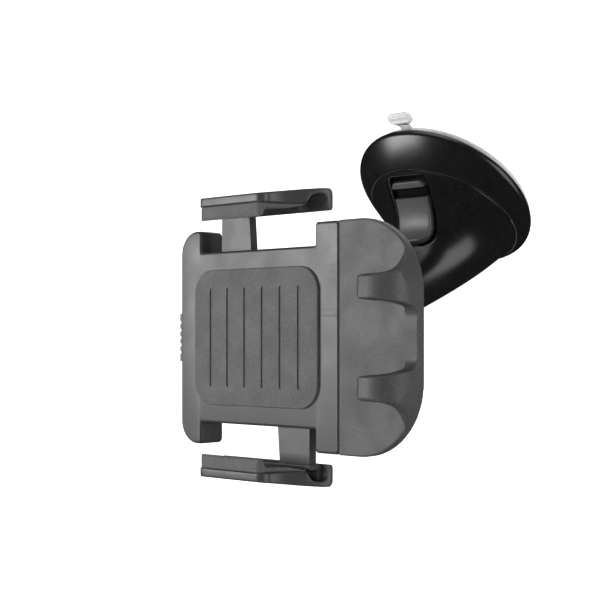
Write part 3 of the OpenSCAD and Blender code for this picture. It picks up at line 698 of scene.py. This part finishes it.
def body_outline(inset):
    """Outline of the cradle's body in X-Z, inset all round: a rectangle with two round corners
    on the left, small ones on the right, and a notch in the top and bottom."""
    l, h, n, z = BODY_L / 2 - inset, BODY_H / 2 - inset, NOTCH_HALF + inset, NOTCH_Z - inset
    small, fine, foot_of_notch = max(1.6 - inset, 0.3), 1.0, 0.8
    upper = [
        ([l, h], small), ([n, h], fine), ([n, z], foot_of_notch), ([-n, z], foot_of_notch),
        ([-n, h], fine), ([-l, h], LEFT_CORNER_R - inset),
    ]
    lower = [([x, -y], r) for (x, y), r in upper[::-1]]
    corners_at = upper + lower
    return rounded([c for c, _ in corners_at], [r for _, r in corners_at], 10)


def tray(open_y, face_y, floor_y, edge):
    """A tray from its mouth at open_y to its face, with a quarter-round at the face and the
    inside cut out to floor_y. Returns points and faces."""
    side = 1 if face_y > open_y else -1
    q = np.linspace(0, np.pi / 2, 7)
    rows = [(WALL, floor_y), (WALL, open_y), (0.0, open_y)]
    rows += [(edge * (1 - math.cos(a)), face_y - side * edge * (1 - math.sin(a))) for a in q]
    rings = [np.pad(body_outline(i), ((0, 0), (0, 1)), constant_values=y) for i, y in rows[::-1]]
    n, m = len(rings[0]), len(rings)
    faces = grid_faces(m, n, False, True).tolist()
    faces += [list(range(n)), list(range((m - 1) * n, m * n))]
    p = np.concatenate(rings)
    return np.stack([p[:, 0], p[:, 2], p[:, 1]], -1) + CRADLE, faces


def brick(low, high, edge=0.0, axis=1):
    """A block between two corners in the cradle's frame, its sides along axis 0 or 1 rounded."""
    order = [(1, 2, 0), (0, 2, 1)][axis]
    (u0, v0, w0), (u1, v1, w1) = (np.array(corner, float)[list(order)] for corner in (low, high))
    outline = np.array([[u0, v0], [u1, v0], [u1, v1], [u0, v1]])
    outline = rounded(outline, edge, 5) if edge else outline
    p, f = slab(outline, w0, w1, 0, 0, 2)
    made = np.empty_like(p)
    for source, target in enumerate(order):
        made[:, target] = p[:, source]
    return made + CRADLE, f


def rod_back(x, z, radius, y0, y1, steps=40):
    """A round bar along Y in the cradle's frame."""
    p, f = slab(arc((x, z), radius, 0, 360, steps + 1)[:-1], y0, y1, 0, 0)
    return np.stack([p[:, 0], p[:, 2], p[:, 1]], -1) + CRADLE, f


openings = [
    brick([-20.4, 8.95, 20], [-4.8, 12.45, 40]), brick([4.8, 8.95, -40], [20.4, 12.45, -20]),
    brick([30, 7.05, 11.7], [40, 9.15, 18.3]), brick([30, 7.05, -18.3], [40, 9.15, -11.7]),
    brick([-40, 7.2, -8.3], [-32, 13.0, 8.3]),
]
screw_places = [(x, z) for x in (-31, 31) for z in (-29, 29)]
front_cover = make_piece(
    "front_cover", *tray(SPLIT_Y - HALF_GAP, FRONT_Y, 7.0, 0.9), satin_shell, "cradle",
    "satin_shell", ["cradle_front_cover"],
)
back_cover = make_piece(
    "back_cover", *tray(SPLIT_Y + HALF_GAP, BACK_Y, 14.0, 2.0), satin_shell, "cradle",
    "satin_shell", ["cradle_back_cover"],
)
for cover in (front_cover, back_cover):
    carve(cover, "DIFFERENCE", *joined(*openings), solver="MANIFOLD")
screw_holes = [rod_back(x, z, 2.3, 14.3, 20) for x, z in screw_places]
hub_hole = rod_back(0, 0, 9.06, 10, 20, steps=96)
carve(back_cover, "DIFFERENCE", *joined(hub_hole, *screw_holes), solver="MANIFOLD")

# the soft pad that the phone's back rests on, with moulded grooves
pad_rubber = finish_material(
    "matt_grey_rubber", ((0.04, 0.04, 0.042), (0.062, 0.062, 0.064)), (0.6, 0.75, 0.05),
    0.02, 2000, 150,
)
SHEET_L, SHEET_H, SHEET_R, SHEET_Y = 28, 22, 8, 4.3
GROOVE_W, GROOVE_H, GROOVE_Y = 0.6, 16, 4.7
sheet = [[-SHEET_L, -SHEET_H], [SHEET_L, -SHEET_H], [SHEET_L, SHEET_H], [-SHEET_L, SHEET_H]]
p, faces = slab(rounded(sheet, SHEET_R, 14), -FRONT_Y, -SHEET_Y, 0, 0.35)
points = np.stack([p[:, 0], -p[:, 2], p[:, 1]], -1) + CRADLE
back_pad = make_piece(
    "back_rest_pad", points, faces, pad_rubber, "cradle", "pad_rubber", ["cradle_pad"]
)
grooves = []
for x in range(-20, 21, 8):
    left, right = x - GROOVE_W, x + GROOVE_W
    outline = [[left, -GROOVE_H], [right, -GROOVE_H], [right, GROOVE_H], [left, GROOVE_H]]
    p, f = slab(rounded(outline, GROOVE_W - 0.01, 8), 3.3, GROOVE_Y, 0, 0, 2)
    grooves.append((np.stack([p[:, 0], p[:, 2], p[:, 1]], -1) + CRADLE, f))
carve(back_pad, "DIFFERENCE", *joined(*grooves))

# ---------------------------------------------------------------- clamps
# Two equal mouldings that close on the phone's long sides, each a hard satin shell with a
# rubber pad inside it, on a toothed rack that runs into the cradle.
TIP_HALF, ROOT_HALF = 14.85, 24.5


def clamp_half(y):
    """Half-width of a clamp at depth y: narrow at the tip, and wider in a smooth S to the root."""
    s = np.clip((y + 3.5) / 18.5, 0, 1)
    return TIP_HALF + (ROOT_HALF - TIP_HALF) * s * s * (3 - 2 * s)


ARCH_Y = [7.2, 7.5, 7.9, 8.4, 9.2, 10, 11, 12, 12.8, 13.2, 13.4]


def clamp_loft(y0, y1, inset, corner, stations, outer_z, inner_z, edge):
    """Sections across the clamp at depths y0 to y1: each a rectangle with rounded corners
    between two heights. The plan's front corners and all rims are rounded."""
    y = y0 + (y1 - y0) * (1 - np.cos(np.pi * np.linspace(0, 1, stations))) / 2
    y = np.unique(np.concatenate([y, ARCH_Y]))
    y = y[(y >= y0) & (y <= y1)]
    half = clamp_half(y) - inset
    into = np.clip(corner - (y - y0), 0, corner)
    half = half - (corner - np.sqrt(np.maximum(corner**2 - into**2, 0)))
    end = np.minimum(y - y0, y1 - y)
    roll = edge - np.sqrt(np.maximum(edge**2 - np.clip(edge - end, 0, edge) ** 2, 0))
    top, low = outer_z(y) - roll, inner_z(y) + roll
    q = np.radians(np.linspace(0, 90, 5))
    corner_in = [(edge - edge * math.cos(a), edge - edge * math.sin(a)) for a in q]
    right_top = [(half - across, top - down) for across, down in corner_in]
    left_top = [(-x, z) for x, z in right_top[::-1]]
    left_low = [(-(half - across), low + up) for across, up in corner_in]
    right_low = [(-x, z) for x, z in left_low[::-1]]
    middle_top = [(half * k, top) for k in (0.6, 0.2, -0.2, -0.6)]
    middle_low = [(half * k, low) for k in (-0.6, -0.2, 0.2, 0.6)]
    ring = right_top + middle_top + left_top + left_low + middle_low + right_low
    x = np.stack([r[0] for r in ring], 1)
    z = np.stack([r[1] for r in ring], 1)
    points = np.stack([x, y[:, None] + 0 * x, z], -1)
    n = x.shape[1]
    faces = grid_faces(*x.shape, False, True).tolist()
    faces += [list(range(n)), list(range((len(y) - 1) * n, len(y) * n))]
    return points.reshape(-1, 3), faces


def plate_top(y):
    """The clamp's outer face: it rises slowly towards the root and rolls off at its end."""
    return np.interp(y, [-6.5, 0, 6.5, 12, 14.2, 15], [44.2, 45.0, 45.8, 46.3, 46.3, 45.6])


def plate_under(y):
    """The underside: flat over the pad, an arch behind it, and the end wall that hangs down."""
    depths = [-6.5, 7.3, 7.9, 8.6, 9.6, 11, 12.2, 13.0, 13.3, 13.5, 15]
    heights = [41.35, 41.35, 42.8, 43.9, 44.4, 44.5, 44.3, 43.2, 41, 39.4, 39.4]
    return np.interp(y, depths, heights)


def pad_under(y):
    """The rubber's gripping face: a small hook at the front and a shallow hollow for the edge."""
    depths = [-6.4, -6.0, -5.6, -4.9, -4.4, -3.4, 3, 7.3]
    heights = [37.8, 37.1, 37.0, 37.5, 38.8, 39.75, 39.85, 40.8]
    return np.interp(y, depths, heights)


def rack_teeth():
    """Outline of the rack in X-Z: a bar whose edge towards the pinion is cut into trapezium
    teeth, one each pi millimetres."""
    tip, root, half = -5.3, -7.1, 1.31 / 2
    back, low, high = -20, -14.5, 41.0
    slope = math.tan(math.radians(20))
    at_root, at_tip = half + slope * 1.1, half - slope * 0.7
    edge = []
    for k in np.arange(-3, 6):
        z = (k + 0.5) * np.pi
        edge += [[root, z - at_root], [tip, z - at_tip], [tip, z + at_tip], [root, z + at_root]]
    edge = np.array([e for e in edge if -10 < e[1] < 18])
    return np.concatenate([[[root, low]], edge, [[root, high], [back, high], [back, low]]])


hard_shell = clamp_loft(-6.5, 15, 0, 3.0, 56, plate_top, plate_under, 0.55)
soft_face = clamp_loft(-6.4, 7.25, 0.75, 2.4, 48, lambda y: 41.4 + 0 * y, pad_under, 0.45)
p, f = slab(rack_teeth(), 9.2, 12.2, 0, 0, 2)
rack = np.stack([p[:, 0], p[:, 2], p[:, 1]], -1), f
rib_low = brick([-21, 8.4, 39.4], [16, 13.4, 41.0], 0.4, 0)
rib_high = brick([-21, 11.6, 40.9], [16, 13.4, 44.4], 0.4, 0)
rack_slot = brick([-15.9, 0, -12], [-12.1, 20, 28])
for side, body in ((1, "upper_clamp"), (-1, "lower_clamp")):
    flip = np.array([side, 1, side])
    place = body.split("_")[0]
    ribs = [((p - CRADLE) * flip, f) for p, f in (rib_low, rib_high)]
    points, faces = joined((hard_shell[0] * flip, hard_shell[1]), *ribs)
    make_piece(
        place + "_clamp_shell", points + CRADLE, faces, satin_shell, body, "satin_shell",
        [place + "_clamp_arm"], sharp=40,
    )
    bar = make_piece(
        place + "_clamp_rack", rack[0] * flip + CRADLE, rack[1], satin_shell, body, "satin_shell"
    )
    carve(bar, "DIFFERENCE", (rack_slot[0] - CRADLE) * flip + CRADLE, rack_slot[1])
    make_piece(
        place + "_clamp_rubber", soft_face[0] * flip + CRADLE, soft_face[1], pad_rubber, body,
        "pad_rubber", [place + "_clamp_pad"], sharp=40,
    )

# ---------------------------------------------------------------- foot
# A matt black plate with two hooked fingers that hold the phone's lower end. The outer sides of
# the fingers are hollowed in a curve that runs into the plate.
FOOT_X, FOOT_HALF, FOOT_CORNER, TIP_X = 67.1, 35.2, 22.4, 54.0
matt_foot = finish_material(
    "fine_grain_foot", ((0.022, 0.0222, 0.0235), (0.042, 0.0425, 0.045)), (0.5, 0.6, 0.05),
    0.012, 3000, 120,
)


def foot_plate():
    """Outline of the plate in X-Z: straight towards the body, two large round corners outside."""
    straight = FOOT_HALF - FOOT_CORNER
    corner = arc((FOOT_X - FOOT_CORNER, straight), FOOT_CORNER, 90, 0, 40)
    right = np.concatenate([[[36.6, FOOT_HALF]], corner])
    return np.concatenate([right, right[::-1] * [1, -1]])


def hook_profile():
    """Side view of a finger in X-Y: an outer bend of 9 mm, a bevelled tip, and an inner bend."""
    return np.concatenate([
        [[FOOT_X, 7.4]], arc((FOOT_X - 9, 1), 9, 0, -90, 36),
        rounded(
            [[TIP_X + 1.5, -8.0], [TIP_X, -6.9], [TIP_X - 0.3, -5.9], [TIP_X + 0.4, -5.0]],
            [0, 0.5, 0.4, 0], 4,
        ),
        arc((FOOT_X - 9.3, 0.2), 5, -90, 0, 24), [[FOOT_X - 4.3, 7.4]],
    ])


def finger_side(side):
    """View of a finger along X, in Y-Z, from its tip to the plate: nearly straight inside with
    a fillet at the plate, and a hollow of radius 12 outside."""
    inside = np.concatenate([
        [[-8.4, 11.15], [1.1, 9.2]], arc((1.1, 5.8), 3.4, 90, 0, 14), [[7.4, 5.8], [7.4, 30]],
    ])
    a = np.radians(np.linspace(90, 2.4, 30))
    outside = np.stack([-7.5 + 12 * np.sin(a), 30 - 12 * np.cos(a)], -1)
    return np.concatenate([inside, outside, [[-8.4, 17.15]]]) * [1, side]


def across_z(outline, low, high):
    """A profile in X-Y thickened along Z, in the cradle's frame."""
    p, f = slab(outline, low, high, 0, 0, 2)
    return p + CRADLE, f


def across_x(outline, low, high):
    """A profile in Y-Z thickened along X, in the cradle's frame."""
    p, f = slab(outline, low, high, 0, 0, 2)
    return np.stack([p[:, 2], p[:, 0], p[:, 1]], -1) + CRADLE, f


def across_y(outline, low, high):
    """An outline in X-Z thickened along Y, in the cradle's frame."""
    p, f = slab(outline, low, high, 0, 0, 2)
    return np.stack([p[:, 0], p[:, 2], p[:, 1]], -1) + CRADLE, f


TIP_ROUND, TIP_END = 2.6, 57.5
tip_outline = rounded(
    [
        [TIP_X - 0.4, 11.3], [TIP_END, 10.6], [TIP_END, 0], [90, 0],
        [90, 40], [TIP_END, 40], [TIP_END, 18.2], [TIP_X - 0.4, 17.6],
    ],
    [TIP_ROUND, 0, 0, 0, 0, 0, 0, TIP_ROUND], 10,
)
foot = make_piece("foot_and_fingers", *across_y(foot_plate(), 4.5, 7.5), None, None, None)
for side in (-1, 1):
    finger = make_piece("finger", *across_z(hook_profile(), -40, 40), None, None, None)
    carve(finger, "INTERSECT", *across_x(finger_side(side), 40, 75))
    carve(finger, "INTERSECT", *across_y(foot_plate(), -20, 7.4))
    carve(finger, "INTERSECT", *across_y(tip_outline * [1, side], -20, 20))
    merge = foot.modifiers.new("join", "BOOLEAN")
    merge.operation, merge.solver, merge.object = "UNION", "EXACT", finger
    apply_modifiers(foot)
    bpy.data.objects.remove(finger)
RAIL_Z = 15
for z in (-RAIL_Z, RAIL_Z):
    carve(foot, "UNION", *brick([-8, 7.3, z - 3], [38, 8.9, z + 3]))
    carve(foot, "UNION", *brick([36.6, 7.0, z - 5], [43.6, 8.9, z + 5]))
remesh = foot.modifiers.new("even", "REMESH")
remesh.mode = "VOXEL"
remesh.voxel_size = 0.33 * MM
smooth = foot.modifiers.new("soften", "SMOOTH")
smooth.factor, smooth.iterations = 0.5, 4
apply_modifiers(foot, 180)
foot.data.materials.append(matt_foot)
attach(foot, "foot")
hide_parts("foot_bracket")

# ---------------------------------------------------------------- locking collar
# The ring behind the cradle that is screwed tight on the ball. Its grip has eighteen round ribs
# with scallops between them.
RIBS = 18


def collar_skin(turn):
    """A ring's profile carried round the Y axis, its outer wall waved eighteen times."""
    profile = np.concatenate([
        [[12.8, -6], [14.6, -6]], arc((14.7, -5.5), 0.5, -90, 0, 5),
        np.stack([np.full(24, 15.2), np.linspace(-5, 4.4, 24)], -1),
        arc((14.2, 4.8), 0.9, 20, 80, 5), [[13.6, 6], [11, 6], [10.9, 5.2], [12.8, 4.3]],
    ])
    r = profile[None, :, 0] + 0 * turn[:, None]
    y = profile[None, :, 1] + 0 * turn[:, None]
    grip = np.clip((5.2 - np.abs(y + 0.3)) / 1.2, 0, 1) * (r > 15.1)
    rib = 0.45 * np.abs(np.cos(RIBS / 2 * turn[:, None])) ** 0.6
    r = r + grip * (rib - 0.15)
    return np.stack([r * np.cos(turn)[:, None], y, r * np.sin(turn)[:, None]], -1) + BALL


turn = np.linspace(0, 2 * np.pi, 361)[:-1]
ring = collar_skin(turn)
ring_faces = grid_faces(*ring.shape[:2], True, True).tolist()
make_piece(
    "grip_collar", ring, ring_faces, satin_shell, "collar", "satin_shell", ["locking_collar"],
    sharp=45,
)

# ---------------------------------------------------------------- small parts kept from the frame
# Screws, pins, springs, the ball and the mechanism keep their own shapes and take the finish of
# the real piece: zinc-plated steel, plain black acetal, natural acetal and grey rubber.
zinc_steel = finish_material(
    "zinc_plated_steel", ((0.48, 0.49, 0.51), (0.62, 0.63, 0.65)), (0.24, 0.36, 0.12), 0.004, 1500,
    200, Metallic=1.0,
)
black_acetal = finish_material(
    "plain_black_acetal", ((0.014, 0.014, 0.015), (0.02, 0.02, 0.021)), (0.42, 0.52, 0.06),
    0.006, 1800, 120,
)
natural_acetal = finish_material(
    "natural_acetal", ((0.68, 0.67, 0.63), (0.76, 0.75, 0.71)), (0.4, 0.48, 0.05),
    0.005, 1500, 120,
)
by_slot = {
    "steel": zinc_steel, "inner_plastic": black_acetal, "gear_plastic": natural_acetal,
    "pad_rubber": pad_rubber, "satin_lever": satin_lever, "satin_shell": satin_shell,
    "gloss_shell": gloss_shell, "matt_foot": matt_foot, "clear_pad": clear_pad,
}
for row in frame["record"]["subparts"]:
    mesh = nodes[row["node"]].data
    mesh.materials.clear()
    mesh.materials.append(by_slot[row["material_slot"]])
